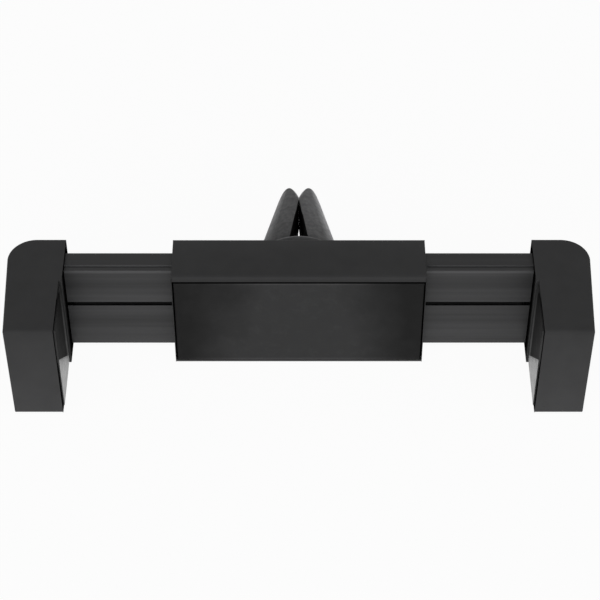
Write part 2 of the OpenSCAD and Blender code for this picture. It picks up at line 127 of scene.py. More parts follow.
def addBar(name, x, z, yFrom, yTo, radiusFrom, radiusTo=None, sides=48):
    # a round bar or cone along Y
    pickOnly()
    radiusTo = radiusFrom if radiusTo is None else radiusTo
    bpy.ops.mesh.primitive_cone_add(
        vertices=sides, radius1=radiusFrom * mm, radius2=radiusTo * mm, depth=(yTo - yFrom) * mm,
        location=metres((x, (yFrom + yTo) / 2, z)), rotation=(-math.pi / 2, 0, 0))
    piece = bpy.context.object
    piece.name = name
    return settle(piece)


def addOutline(name, points, axis, low, high):
    # a ring of points filled and pulled along an axis, like a profile cut from sheet
    pickOnly()
    bpy.ops.mesh.primitive_circle_add(vertices=len(points), fill_type="NGON")
    piece = bpy.context.object
    piece.name = name
    spots = {"x": lambda a, b: (low, a, b), "y": lambda a, b: (a, low, b), "z": lambda a, b: (a, b, low)}
    for vertex, (a, b) in zip(piece.data.vertices, points):
        vertex.co = metres(spots[axis](a, b))
    pull = [(high - low) * mm if letter == axis else 0 for letter in "xyz"]
    bpy.ops.object.mode_set(mode="EDIT")
    bpy.ops.mesh.select_all(action="SELECT")
    bpy.ops.mesh.extrude_region_move(TRANSFORM_OT_translate={"value": pull})
    bpy.ops.object.mode_set(mode="OBJECT")
    pointOutwards(piece)
    return piece


def arc(centre, radius, start, end, steps):
    turns = [math.radians(start + (end - start) * k / steps) for k in range(steps + 1)]
    return [(centre[0] + radius * math.cos(t), centre[1] + radius * math.sin(t)) for t in turns]


def combine(piece, tool, how="DIFFERENCE"):
    pickOnly(piece)
    modifier = piece.modifiers.new("combine", "BOOLEAN")
    modifier.operation = how
    modifier.object = tool
    modifier.solver = "EXACT"
    bpy.ops.object.modifier_apply(modifier=modifier.name)
    bpy.data.objects.remove(tool)


def roundEdges(piece, width, choices, segments=4, profile=0.5):
    # choices: (test of an edge's middle and direction in mm, share of the width)
    pickOnly(piece)
    weights = "bevel_weight_edge"
    piece.data.attributes.new(weights, "FLOAT", "EDGE")
    mesh = bmesh.new()
    mesh.from_mesh(piece.data)
    layer = mesh.edges.layers.float[weights]
    for edge in mesh.edges:
        if edge.calc_face_angle(0) < math.radians(flatAngle):
            continue
        a, b = (placeOf(vertex.co) for vertex in edge.verts)
        for test, share in choices:
            if test((a + b) / 2, (b - a).normalized()):
                edge[layer] = share
                break
    mesh.to_mesh(piece.data)
    mesh.free()
    modifier = piece.modifiers.new("round", "BEVEL")
    modifier.limit_method = "WEIGHT"
    modifier.width = width * mm
    modifier.segments = segments
    modifier.profile = profile
    modifier.use_clamp_overlap = True
    modifier.miter_outer = "MITER_ARC"
    bpy.ops.object.modifier_apply(modifier=modifier.name)
    piece.data.attributes.remove(piece.data.attributes[weights])


def finishPiece(piece, body, node, material):
    pickOnly(piece)
    bpy.ops.object.mode_set(mode="EDIT")
    bpy.ops.mesh.select_all(action="SELECT")
    bpy.ops.mesh.remove_doubles(threshold=mergeDistance * mm)
    bpy.ops.object.mode_set(mode="OBJECT")
    bpy.ops.object.shade_smooth_by_angle(angle=math.radians(smoothAngle))
    modifier = piece.modifiers.new("flats", "WEIGHTED_NORMAL")
    modifier.keep_sharp = True
    bpy.ops.object.modifier_apply(modifier=modifier.name)
    piece.data.materials.clear()
    piece.data.materials.append(material)
    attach(piece, body)
    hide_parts(node)


# Nodes for materials and for the world, with sizes in millimetres

noiseRange = (0.3, 0.7)  # where most values of a noise lie
grainRoughness = 0.6
glossShare = 0.6  # size of a moulding's gloss blotches beside its colour blotches
sheenRoughness = 0.5


def feed(material, socket, value):
    # value: a number, a colour or another node's output
    if isinstance(value, bpy.types.NodeSocket):
        material.node_tree.links.new(value, socket)
    else:
        socket.default_value = (*value, 1) if isinstance(value, tuple) else value


def calculate(material, kind, first, second=0):
    step = material.node_tree.nodes.new("ShaderNodeMath")
    step.operation = kind
    feed(material, step.inputs[0], first)
    feed(material, step.inputs[1], second)
    return step.outputs[0]


def axesOf(material, coordinates="Object"):
    nodes, links = material.node_tree.nodes, material.node_tree.links
    place = nodes.new("ShaderNodeTexCoord")
    parts = nodes.new("ShaderNodeSeparateXYZ")
    links.new(place.outputs[coordinates], parts.inputs[0])
    return parts.outputs


def addNoise(material, size, stretch=(1, 1, 1), detail=2, roughness=0.5):
    nodes, links = material.node_tree.nodes, material.node_tree.links
    place = nodes.new("ShaderNodeTexCoord")
    mapping = nodes.new("ShaderNodeMapping")
    mapping.inputs["Scale"].default_value = stretch
    noise = nodes.new("ShaderNodeTexNoise")
    noise.inputs["Scale"].default_value = 1 / (size * mm)
    noise.inputs["Detail"].default_value = detail
    noise.inputs["Roughness"].default_value = roughness
    links.new(place.outputs["Object"], mapping.inputs["Vector"])
    links.new(mapping.outputs["Vector"], noise.inputs["Vector"])
    return noise.outputs["Fac"]


def spread(material, value, low, high, fromLow=noiseRange[0], fromHigh=noiseRange[1]):
    # a value from fromLow to fromHigh becomes one from low to high
    nodes, links = material.node_tree.nodes, material.node_tree.links
    ranged = nodes.new("ShaderNodeMapRange")
    for socket, number in (("From Min", fromLow), ("From Max", fromHigh), ("To Min", low), ("To Max", high)):
        ranged.inputs[socket].default_value = number
    links.new(value, ranged.inputs["Value"])
    return ranged.outputs["Result"]


def spreadAround(material, low, high, fromLow, fromHigh):
    # a value that changes with depth + height in mm, so that it follows a profile round its edges
    axes = axesOf(material)
    around = calculate(material, "ADD", axes["Y"], axes["Z"])
    return spread(material, around, low, high, (fromLow + frontY) * mm, (fromHigh + frontY) * mm)


def blendColours(material, value, dark, light):
    nodes, links = material.node_tree.nodes, material.node_tree.links
    ramp = nodes.new("ShaderNodeValToRGB")
    for element, position, colour in zip(ramp.color_ramp.elements, noiseRange, (dark, light)):
        element.position = position
        element.color = (*colour, 1)
    links.new(value, ramp.inputs["Fac"])
    return ramp.outputs["Color"]


def mixColours(material, share, first, second):
    mix = material.node_tree.nodes.new("ShaderNodeMix")
    mix.data_type = "RGBA"
    feed(material, mix.inputs["Factor"], share)
    feed(material, mix.inputs[6], first)  # 6 and 7 are the two colours
    feed(material, mix.inputs[7], second)
    return mix.outputs[2]  # the mixed colour


def scaleColour(material, colour, factor):
    scaled = material.node_tree.nodes.new("ShaderNodeVectorMath")
    scaled.operation = "SCALE"
    feed(material, scaled.inputs[0], colour)
    feed(material, scaled.inputs["Scale"], factor)
    return scaled.outputs[0]


def lightenAlong(material, colour, slopes):
    # painted light and shade along an axis; slopes: (axis, from in mm, to in mm, factor reached there)
    axes = axesOf(material)
    for axis, low, high, factor in slopes:
        colour = scaleColour(material, colour, spread(material, axes[axis], 1, factor, low * mm, high * mm))
    return colour


def paintOutlineHighlight(material, colour, start, factor):
    # painted highlight on rubber where it curves away from the eye, by this factor at its outline
    turned = material.node_tree.nodes.new("ShaderNodeLayerWeight")
    return scaleColour(material, colour, spread(material, turned.outputs["Facing"], 1, factor, start, 1))


def addBands(material, colour, bands):
    # bands: (depth + height in mm, factor), painted highlights and painted shade that follow a profile round
    # its edges, such as the lines along the arms
    nodes, links = material.node_tree.nodes, material.node_tree.links
    low, high = bands[0][0], bands[-1][0]
    top = max(factor for distance, factor in bands)
    ramp = nodes.new("ShaderNodeValToRGB")
    while len(ramp.color_ramp.elements) < len(bands):
        ramp.color_ramp.elements.new(0.5)
    for element, (distance, factor) in zip(ramp.color_ramp.elements, bands):
        element.position = (distance - low) / (high - low)
        element.color = (*[factor / top] * 3, 1)
    links.new(spreadAround(material, 0, 1, low, high), ramp.inputs["Fac"])
    banded = nodes.new("ShaderNodeVectorMath")
    banded.operation = "MULTIPLY"
    links.new(colour, banded.inputs[0])
    links.new(ramp.outputs["Color"], banded.inputs[1])
    return scaleColour(material, banded.outputs[0], top)


# Finishes

def newFinish(name, metallic, specular):
    material = bpy.data.materials.new(name)
    material.use_nodes = True
    shader = material.node_tree.nodes["Principled BSDF"]
    shader.inputs["Metallic"].default_value = metallic
    shader.inputs["Specular IOR Level"].default_value = specular
    return material, shader


def addGloss(material, shader, value, look):
    low, high = (look["roughness"] + sign * look["roughnessSpread"] for sign in (-1, 1))
    feed(material, shader.inputs["Roughness"], spread(material, value, low, high))


def addBump(material, shader, value, depth):
    bump = material.node_tree.nodes.new("ShaderNodeBump")
    bump.inputs["Distance"].default_value = depth * mm
    bump.inputs["Strength"].default_value = 1
    feed(material, bump.inputs["Height"], value)
    feed(material, shader.inputs["Normal"], bump.outputs["Normal"])


def mouldedFinish(name, look):
    # a moulded plastic or rubber: spark-eroded grain, faint blotches of colour and of gloss, and painted
    # light and shade where its look asks for it
    material, shader = newFinish(name, 0, look["specular"])
    stretch = look.get("stretch", (1, 1, 1))
    blotches = addNoise(material, look["blotch"], stretch, detail=3)
    colour = blendColours(material, blotches, look["dark"], look["light"])
    if "lighter" in look:
        colour = lightenAlong(material, colour, look["lighter"])
    if "bands" in look:
        colour = addBands(material, colour, look["bands"])
    if "outlineHighlight" in look:
        colour = paintOutlineHighlight(material, colour, *look["outlineHighlight"])
    feed(material, shader.inputs["Base Color"], colour)
    addGloss(material, shader, addNoise(material, look["blotch"] * glossShare, stretch), look)
    grain = addNoise(material, look["grain"], roughness=grainRoughness)
    addBump(material, shader, grain, look["grainDepth"])
    if "dullFrom" in look:
        low, high = look["dullFrom"]
        shine = spreadAround(material, look["specular"], 0, low, high)
        feed(material, shader.inputs["Specular IOR Level"], shine)
    if "sheen" in look:
        shader.inputs["Sheen Weight"].default_value = look["sheen"]
        shader.inputs["Sheen Roughness"].default_value = sheenRoughness
    return material


def steelFinish(name, look):
    # turned or drawn steel: fine scratches along the stretch, slightly uneven gloss
    material, shader = newFinish(name, 1, look["specular"])
    tone = addNoise(material, look["blotch"], detail=3)
    feed(material, shader.inputs["Base Color"], blendColours(material, tone, look["dark"], look["light"]))
    scratches = addNoise(material, look["scratch"], look["stretch"])
    addGloss(material, shader, scratches, look)
    addBump(material, shader, scratches, look["depth"])
    return material


def padFinish(name, look):
    # rubber with faint smudges, and painted reflection and shade: lighter in the middle and darker towards
    # its ends and upper corners
    material, shader = newFinish(name, 0, look["specular"])
    axes = axesOf(material)
    sideways = calculate(material, "ABSOLUTE", axes["X"])
    raised = calculate(material, "MULTIPLY", axes["Z"], look["rise"])
    # the ends fade in along a wavy line, not a straight one
    wander = calculate(material, "SUBTRACT", addNoise(material, look["waveSize"], detail=3), 0.5)
    wave = calculate(material, "MULTIPLY", wander, look["waveReach"] * mm)
    reach = calculate(material, "ADD", calculate(material, "ADD", sideways, raised), wave)
    ends = spread(material, reach, 0, 1, look["fadeFrom"] * mm, look["fadeTo"] * mm)
    specks = addNoise(material, look["smudgeSize"], detail=6, roughness=look["smudgeRoughness"])
    smears = spread(material, specks, 0, 1, look["smudgeFrom"], look["smudgeTo"])
    smudges = calculate(material, "MULTIPLY", smears, look["smudgeShare"])
    smudgedMiddle = mixColours(material, smudges, look["middle"], look["smudge"])
    colour = lightenAlong(material, mixColours(material, ends, smudgedMiddle, look["end"]), look["lighter"])
    feed(material, shader.inputs["Base Color"], colour)
    addGloss(material, shader, addNoise(material, look["glossSize"], detail=3), look)
    grain = addNoise(material, look["grain"], roughness=grainRoughness)
    addBump(material, shader, grain, look["grainDepth"])
    return material


# near black, for painted shade in the housing's seam and on the jaws' gripping side
nearBlack = {
    "dark": (0.002, 0.002, 0.002), "light": (0.003, 0.003, 0.003), "specular": 0, "roughness": 0.9,
    "roughnessSpread": 0.03, "blotch": 3, "grain": 0.1, "grainDepth": 0.002,
}
# dark and light colour the blotches; lighter, bands and the outline highlight are painted light and
# shade for lightenAlong, addBands and the outline helper, and the gloss fades out over the span of dullFrom
mouldings = {
    "housingPlastic": {
        "dark": (0.0235, 0.0235, 0.024), "light": (0.0265, 0.0265, 0.027), "specular": 0.18,
        "roughness": 0.6, "roughnessSpread": 0.03, "blotch": 5, "grain": 0.16, "grainDepth": 0.004,
        # painted light round the profile: highlights on the lower front edge and the upper front round, and
        # the top face lighter towards its back
        "bands": [(-13, 2.5), (-11.3, 2.5), (-11.1, 1), (11.5, 0.8), (11.9, 0.95), (12.9, 1.4), (13.8, 0.96),
                  (18, 0.96), (21, 1.05), (23.7, 1.3)],
    },
    "seamPaintedShade": nearBlack,
    "coverPlastic": {
        "dark": (0.020, 0.020, 0.020), "light": (0.026, 0.026, 0.026), "specular": 0.2,
        "roughness": 0.62, "roughnessSpread": 0.03, "blotch": 4, "grain": 0.22, "grainDepth": 0.008,
    },
    "jawPlastic": {
        "dark": (0.0255, 0.0255, 0.026), "light": (0.0285, 0.0285, 0.029), "specular": 0.18,
        "roughness": 0.62, "roughnessSpread": 0.03, "blotch": 5, "grain": 0.16, "grainDepth": 0.004,
        # painted light: the jaws' front faces lighter towards their bottom
        "bands": [(-26, 1.6), (-14, 1.32), (-4, 1.08), (-1.6, 1), (24, 0.97)],
    },
    # painted shade: near black on the jaws' gripping side, with a band between Y -19 and -14 mm painted
    # lighter
    "jawInside": {**nearBlack, "lighter": [("Y", -20, -19, 13), ("Y", -14.1, -13.8, 0.08)]},
    "armPlastic": {
        "dark": (0.022, 0.022, 0.0225), "light": (0.034, 0.034, 0.035), "specular": 0.22, "roughness": 0.38,
        "roughnessSpread": 0.05, "blotch": 1.6, "stretch": (0.02, 1, 1), "grain": 0.14, "grainDepth": 0.002,
        # painted light and shade round the arms' profile: highlights on the plate's edges and the step, the
        # slit painted black, and lighter and darker lines across the front
        "bands": [(-6.8, 1.55), (-1.3, 1.3), (0.2, 0.88), (3.2, 1.25), (4.65, 1.25), (4.72, 0.02),
                  (5.72, 0.02), (5.78, 1.4), (7.3, 1.45), (11, 0.88), (13.4, 1.25), (13.9, 1.15),
                  (14.15, 2.3), (14.6, 2.3), (14.85, 0.95), (15.93, 0.95), (15.98, 2.3), (16.2, 1.9),
                  (16.35, 0.65), (18.8, 0.58), (19.6, 0.8)],
    },
    "jawRubber": {
        "dark": (0.036, 0.036, 0.036), "light": (0.044, 0.044, 0.044), "specular": 0.4,
        "roughness": 0.25, "roughnessSpread": 0.04, "blotch": 3, "grain": 0.1, "grainDepth": 0.002,
        # painted light and shade on the gripping pad: bands round its profile, darker towards the front and
        # lighter behind its front part
        "bands": [(-14, 0.2), (-12.5, 0.5), (-10, 1.8), (-7, 1.8), (-4, 1.45), (2, 1.1), (9, 0.5)],
        "lighter": [("Y", -28, -18, 0.65), ("Y", -17.7, -17.2, 3.4)], "dullFrom": (-14.5, -9.8),
    },
    "collarRubber": {
        "dark": (0.055, 0.055, 0.056), "light": (0.080, 0.080, 0.081), "specular": 0.2,
        "roughness": 0.75, "roughnessSpread": 0.06, "blotch": 0.9, "grain": 0.22, "grainDepth": 0.02,
        # painted highlight: a lighter band round the collar's rear rim
        "lighter": [("Y", -0.6, -0.4, 2.4)],
    },
    "clipRubber": {
        "dark": (0.022, 0.022, 0.0225), "light": (0.038, 0.038, 0.0385), "specular": 0.2,
        "roughness": 0.8, "roughnessSpread": 0.08, "blotch": 0.9, "grain": 0.22, "grainDepth": 0.02,
        # the sheen is the shader's own; the highlight at the outline is painted
        "sheen": 0.15, "outlineHighlight": (0.64, 6),
        # painted light and shade: lighter to the right, where the light falls, and towards the tips, with a
        # darker crease painted at the roots above the collar
        "lighter": [("X", -1, 6, 1.9), ("Y", 0.2, 1.6, 2.05), ("Y", 1.6, 9, 1.38), ("Y", 9, 20, 1.3)],
    },
    # painted shade: near black for the faces inside the slots
    "slotPaintedShade": {
        "dark": (0.003, 0.003, 0.003), "light": (0.005, 0.005, 0.005), "specular": 0.08,
        "roughness": 0.7, "roughnessSpread": 0.05, "blotch": 1, "grain": 0.2, "grainDepth": 0.01,
    },
    "frictionRubber": {
        "dark": (0.030, 0.030, 0.030), "light": (0.040, 0.040, 0.040), "specular": 0.3,
        "roughness": 0.7, "roughnessSpread": 0.05, "blotch": 1, "grain": 0.15, "grainDepth": 0.01,
    },
    "corePlastic": {
        "dark": (0.018, 0.018, 0.018), "light": (0.026, 0.026, 0.026), "specular": 0.25,
        "roughness": 0.5, "roughnessSpread": 0.04, "blotch": 3, "grain": 0.2, "grainDepth": 0.004,
    },
    "gearPlastic": {
        "dark": (0.60, 0.60, 0.57), "light": (0.72, 0.72, 0.69), "specular": 0.5,
        "roughness": 0.42, "roughnessSpread": 0.04, "blotch": 2, "grain": 0.2, "grainDepth": 0.003,
    },
    "washerNylon": {
        "dark": (0.58, 0.58, 0.56), "light": (0.68, 0.68, 0.66), "specular": 0.45,
        "roughness": 0.5, "roughnessSpread": 0.04, "blotch": 1.5, "grain": 0.2, "grainDepth": 0.003,
    },
}
steels = {
    "springSteel": {
        "dark": (0.42, 0.42, 0.43), "light": (0.58, 0.58, 0.6), "specular": 0.5, "blotch": 0.8,
        "scratch": 0.1, "stretch": (1, 1, 1), "roughness": 0.28, "roughnessSpread": 0.06, "depth": 0.002,
    },
    "screwSteel": {
        "dark": (0.36, 0.36, 0.37), "light": (0.52, 0.52, 0.54), "specular": 0.5, "blotch": 0.6,
        "scratch": 0.08, "stretch": (1, 0.2, 1), "roughness": 0.32, "roughnessSpread": 0.06, "depth": 0.003,
    },
}
padLook = {
    # middle and end: painted reflection, lighter in the middle and darker at the ends
    "middle": (0.026, 0.026, 0.0265), "end": (0.004, 0.004, 0.004), "smudge": (0.038, 0.038, 0.0385),
    "smudgeSize": 1.6, "smudgeRoughness": 0.65, "smudgeFrom": 0.5, "smudgeTo": 0.75, "smudgeShare": 0.5,
    "fadeFrom": 9, "fadeTo": 22.5, "rise": 0.15, "waveSize": 9, "waveReach": 12,
    # painted highlights along the pad's top and bottom edges, and painted shade on its top side
    "lighter": [("Z", 10.76, 10.86, 1.6), ("Z", 11.04, 11.1, 0.1), ("Z", -10.6, -10.9, 1.5)],
    "specular": 0.12, "roughness": 0.5, "roughnessSpread": 0.06, "glossSize": 3, "grain": 0.12,
    "grainDepth": 0.002,
}
materials = {name: mouldedFinish(name, look) for name, look in mouldings.items()}
materials["padRubber"] = padFinish("padRubber", padLook)
materials.update({name: steelFinish(name, look) for name, look in steels.items()})
print("materials made:", len(materials))


# Housing: rounded block with a pad recess, a cavity open at the back and a mouth at each end

screws = {
    "radius": 0.7, "headRadius": 1.25, "headDepth": 0.7, "length": 5.1, "over": 0.2, "lap": 0.05, "sides": 32,
}


def sinkScrew(piece, x, z, yBack):
    # a bore and a countersink that runs on behind the face
    radius, sides = screws["radius"], screws["sides"]
    tip, headFront = yBack - screws["length"], yBack - screws["headDepth"]
    grow = (screws["headRadius"] - radius) / screws["headDepth"] * screws["over"]
    combine(piece, addBar("drill", x, z, tip, headFront + screws["lap"], radius, sides=sides))
    combine(piece, addBar("drill", x, z, headFront, yBack + screws["over"], radius,
                          screws["headRadius"] + grow, sides=sides))


housing = {
    "frontRadius": 1, "frontLowRadius": 0.42, "rearRadius": 0.4, "endRadius": 0.1, "roundness": 0.36,
    "padDepth": 1.3, "padRim": 0.71, "padEndRim": 0.16, "rimRadius": 0.05, "rimDepth": 0.05,
    # painted shade: the part of the recess that is painted near black
    "seamFrom": 0.15, "seamAbove": 0.1,  # the recess is dark behind this depth and above its lower wall
    "wall": 0.9, "endWall": 1.2, "cavityFront": 2.6, "coverFront": 10,
    "mouthFront": 3.9, "mouthBack": 8.7,
    "bossRadius": 1.5, "screwHeight": 9.5,
    "tabReach": 0.65, "tabHalf": 4.55, "tabBack": 10.8, "tabFront": 9.95,
}


def makeHousing():
    low, high = nodeBox("housing_shell")
    halfW, halfH, depth = high.x, high.z, high.y
    shell = addBlock("housing.shell", low, high)
    front = housing["frontRadius"]
    roundEdges(shell, front, [
        (lambda p, d: abs(p.x) > halfW - slack, housing["endRadius"] / front),
        (lambda p, d: p.y < slack and p.z > 0, 1),
        (lambda p, d: p.y < slack, housing["frontLowRadius"] / front),
        (lambda p, d: True, housing["rearRadius"] / front)], segments=6, profile=housing["roundness"])
    padX, padZ = halfW - housing["padEndRim"], halfH - housing["padRim"]
    combine(shell, addBlock("cutter", (-padX, -over, -padZ), (padX, housing["padDepth"], padZ)))
    x, z = halfW - housing["endWall"], halfH - housing["wall"]
    combine(shell, addBlock("cutter", (-x, housing["cavityFront"], -z), (x, depth + over, z)))
    mouth = halfW + over
    combine(shell, addBlock("cutter", (-mouth, housing["mouthFront"], -z), (mouth, housing["mouthBack"], z)))
    boss, bossFront, bossBack = housing["bossRadius"], housing["cavityFront"] - lap, housing["coverFront"]
    for side in (-1, 1):
        at = side * housing["screwHeight"]
        combine(shell, addBar("boss", 0, at, bossFront, bossBack, boss, sides=screws["sides"]), "UNION")
        combine(shell, addBlock("web", (-boss, bossFront, at), (boss, bossBack, side * (z + lap))), "UNION")
        sinkScrew(shell, 0, at, depth)
        combine(shell, addBlock("cutter", (side * (x - over), housing["tabFront"], -housing["tabHalf"]),
                                (side * (x + housing["tabReach"]), housing["tabBack"], housing["tabHalf"])))

    def onRim(p):
        return p.y < housing["rimDepth"] and min(abs(abs(p.x) - padX), abs(abs(p.z) - padZ)) < 2 * slack

    def onMouth(p):
        return abs(p.x) > halfW - slack and abs(p.z) < z + slack

    roundEdges(shell, housing["rimRadius"], [(lambda p, d: onRim(p) or onMouth(p), 1)], segments=2)
    finishPiece(shell, "housing", "housing_shell", materials["housingPlastic"])
    # painted shade: the recess is left dull and near black behind its rim
    shell.data.materials.append(materials["seamPaintedShade"])
    for face in shell.data.polygons:
        spot = placeOf(face.center)
        deep = housing["seamFrom"] < spot.y < housing["padDepth"] + slack
        inside = abs(spot.x) < padX + slack and housing["seamAbove"] - padZ < spot.z < padZ + slack
        face.material_index = 1 if deep and inside else 0


makeHousing()
print("housing shell made")


# Front pad: a little longer and lower than its node, so that its seams are thin

frontPad = {"edgeRadius": 0.24, "lowEdgeRadius": 0.084, "widen": 0.28, "lower": 0.28}


def makeFrontPad():
    low, high = nodeBox("front_pad")
    widen, lower = Vector((frontPad["widen"], 0, 0)), Vector((0, 0, frontPad["lower"]))
    pad = addBlock("housing.pad", low - widen - lower, high + widen)
    roundEdges(pad, frontPad["edgeRadius"], [
        (lambda p, d: p.y < slack and p.z < low.z, frontPad["lowEdgeRadius"] / frontPad["edgeRadius"]),
        (lambda p, d: p.y < slack, 1)], segments=3)
    finishPiece(pad, "housing", "front_pad", materials["padRubber"])


makeFrontPad()
print("front pad made")


# Rear cover: a plate with end tabs, a boss for the pinion and a groove for the friction ring

rearCover = {
    "gap": 0.05, "edgeRadius": 0.15, "tabLength": 0.6, "tabHalf": 4.5, "tabBack": 10.75,
    "bossRadius": 1.7, "bossFront": 8.675, "boreRadius": 1.05,
    "grooveIn": 4, "grooveOut": 6.8, "grooveDepth": 0.4, "grooveSides": 96,
}


def makeRearCover():
    x = nodeBox("housing_shell")[1].x - housing["endWall"] - rearCover["gap"]
    z = nodeBox("rear_cover")[1].z
    front, back = housing["coverFront"], nodeBox("rear_cover")[1].y
    cover = addBlock("housing.cover", (-x, front, -z), (x, back, z))
    tabEnd = x + rearCover["gap"] + rearCover["tabLength"]
    for side in (-1, 1):
        combine(cover, addBlock("tab", (side * (x - over), front, -rearCover["tabHalf"]),
                                (side * tabEnd, rearCover["tabBack"], rearCover["tabHalf"])), "UNION")
    roundEdges(cover, rearCover["edgeRadius"], [(lambda p, d: p.y > back - slack, 1)], segments=3)
    boss = addBar("boss", 0, 0, rearCover["bossFront"], front + lap, rearCover["bossRadius"])
    combine(cover, boss, "UNION")
    combine(cover, addBar("bore", 0, 0, 0, back + over, rearCover["boreRadius"]))
    groove = addBar("groove", 0, 0, back - rearCover["grooveDepth"], back + over, rearCover["grooveOut"],
                    sides=rearCover["grooveSides"])
    combine(groove, addBar("inner", 0, 0, 0, back + 2 * over, rearCover["grooveIn"],
                           sides=rearCover["grooveSides"]))
    combine(cover, groove)
    for side in (-1, 1):
        sinkScrew(cover, 0, side * housing["screwHeight"], back)
    finishPiece(cover, "housing", "rear_cover", materials["coverPlastic"])


makeRearCover()
print("rear cover made")


# Arms: two rails with a stepped front plate, spring channels and a toothed tongue behind

arm = {
    "front": 4, "plate": 1.2, "back": 8.6, "step": 0.45, "skin": 0.5, "halfHeight": 11.2,
    "innerEnd": 23, "outerEnd": 55.2, "plateRadius": 0.28, "stepRadius": 0.2, "backRadius": 0.2,
    "slitHeight": 1, "slitMiddle": 1.17, "slitEnd": 46.8, "slitRadius": 0.12,
    "springHeight": 5.9, "channelHalf": 1.55, "channelEnd": 42.2, "pinX": 41, "pinRadius": 0.4,
    "screwX": 51, "screwHeight": 6.5, "screwFront": 6.4, "pivotHalf": 2.7, "pivotReach": 23.7,
    "rackFront": 8.75, "rackBack": 9.9, "rackTop": 7.7, "rackTip": 1.985, "rackLap": 0.2, "rackGap": 0.07,
    "neck": 24, "hollowFront": 4.35, "hollowLow": -0.6, "hollowHigh": 3.2, "hollowIn": 2, "hollowOut": 1,
}
teeth = {
    "module": 0.6, "pinionRadius": 3.6, "angle": 25, "backlash": 0.12, "count": 12,
    "root": 1.1, "tip": 0.85,  # in modules
}
plateZ = arm["halfHeight"] - arm["step"]
plateBack = arm["front"] + arm["plate"]
rackRoot = teeth["pinionRadius"] + teeth["root"] * teeth["module"]


def rackOutline(side, up):
    pitch = math.pi * teeth["module"]
    lean = math.tan(math.radians(teeth["angle"]))
    half = pitch / 4 - teeth["backlash"] / 4
    tip = teeth["pinionRadius"] - teeth["tip"] * teeth["module"]
    toRoot = half + (rackRoot - teeth["pinionRadius"]) * lean
    toTip = half - (teeth["pinionRadius"] - tip) * lean
    end = arm["innerEnd"] + arm["rackLap"]
    points = [(end, arm["rackTop"]), (end, rackRoot)]
    for i in range(teeth["count"] - 1, -2, -1):
        middle = (i + 0.5) * pitch
        points += [(middle + toRoot, rackRoot), (middle + toTip, tip), (middle - toTip, tip),
                   (middle - toRoot, rackRoot)]
    points += [(-arm["rackTip"], rackRoot), (-arm["rackTip"], arm["rackTop"])]
    return [(side * x, up * z) for x, z in points]


def makeArm(side):
    name = "right" if side > 0 else "left"
    profile = [(arm["front"], plateZ), (plateBack, plateZ), (plateBack, arm["halfHeight"]),
               (arm["back"], arm["halfHeight"])]
    profile += [(y, -z) for y, z in reversed(profile)]
    rails = addOutline(name + ".arm", profile, "x", side * arm["innerEnd"], side * arm["outerEnd"])
    roundEdges(rails, arm["plateRadius"], [
        (lambda p, d: abs(d.x) < along, 0),
        (lambda p, d: p.y < arm["front"] + slack, 1),
        (lambda p, d: p.y > arm["back"] - slack, arm["backRadius"] / arm["plateRadius"]),
        (lambda p, d: abs(p.z) > arm["halfHeight"] - slack, arm["stepRadius"] / arm["plateRadius"])],
        segments=3)
    inner, rackClear = arm["innerEnd"] - over, arm["rackFront"] - arm["rackGap"]
    slitLow = arm["slitMiddle"] - arm["slitHeight"] / 2
    slitHigh = arm["slitMiddle"] + arm["slitHeight"] / 2
    combine(rails, addBlock("slit", (side * inner, 0, slitLow), (side * arm["slitEnd"], rackClear, slitHigh)))

    def onSlit(p, d):
        return abs(d.x) > along and p.y < arm["front"] + slack and slitLow - slack < p.z < slitHigh + slack

    roundEdges(rails, arm["slitRadius"], [(onSlit, 1)], segments=3)
    # a hollow behind the slit, so that it shows black as the deep gap between the rails does
    hollowStart, hollowEnd = arm["innerEnd"] + arm["hollowIn"], arm["slitEnd"] - arm["hollowOut"]
    floor, back = arm["back"] - arm["skin"], arm["back"] + over
    combine(rails, addBlock("hollow", (side * hollowStart, arm["hollowFront"], arm["hollowLow"]),
                            (side * hollowEnd, floor, arm["hollowHigh"])))
    combine(rails, addBlock("clearance", (side * inner, 0, -arm["pivotHalf"]),
                            (side * arm["pivotReach"], rackClear, arm["pivotHalf"])))
    for level in (-1, 1):
        z = level * arm["springHeight"]
        combine(rails, addBlock("channel", (side * inner, plateBack, z - arm["channelHalf"]),
                                (side * arm["channelEnd"], floor, z + arm["channelHalf"])))
        combine(rails, addBar("pinHole", side * arm["pinX"], z, plateBack - arm["plate"] / 2, back,
                              arm["pinRadius"], sides=24))
        combine(rails, addBar("screwHole", side * arm["screwX"], level * arm["screwHeight"],
                              arm["screwFront"], back, screws["radius"], sides=screws["sides"]))
    up = -side
    tongue = addOutline("tongue", rackOutline(side, up), "y", arm["rackFront"], arm["rackBack"])
    combine(tongue, addBlock("neck", (side * arm["innerEnd"], arm["back"] - lap, up * rackRoot),
                             (side * arm["neck"], arm["rackBack"], up * (arm["halfHeight"] - lap))), "UNION")
    combine(rails, tongue, "UNION")
    finishPiece(rails, name + "_jaw", name + "_arm", materials["armPlastic"])


for side in (-1, 1):
    makeArm(side)
print("arms made")


# Jaws: hollow L-shaped shells with a rubber pad let into the gripping face

jaw = {
    "step": 0.6, "taper": 1, "cornerRadius": 5.5, "frontRadius": 0.9, "backRadius": 0.4, "innerRadius": 0.14,
    "uprightRadius": 0.3, "rimRadius": 0.06, "pad": 1.2, "rim": 1, "seam": 0.2, "wall": 1.2, "hollowBack": 1,
    "rib": 0.9, "socket": 8.4, "padEdge": 0.12, "insideDepth": 0.1,
}


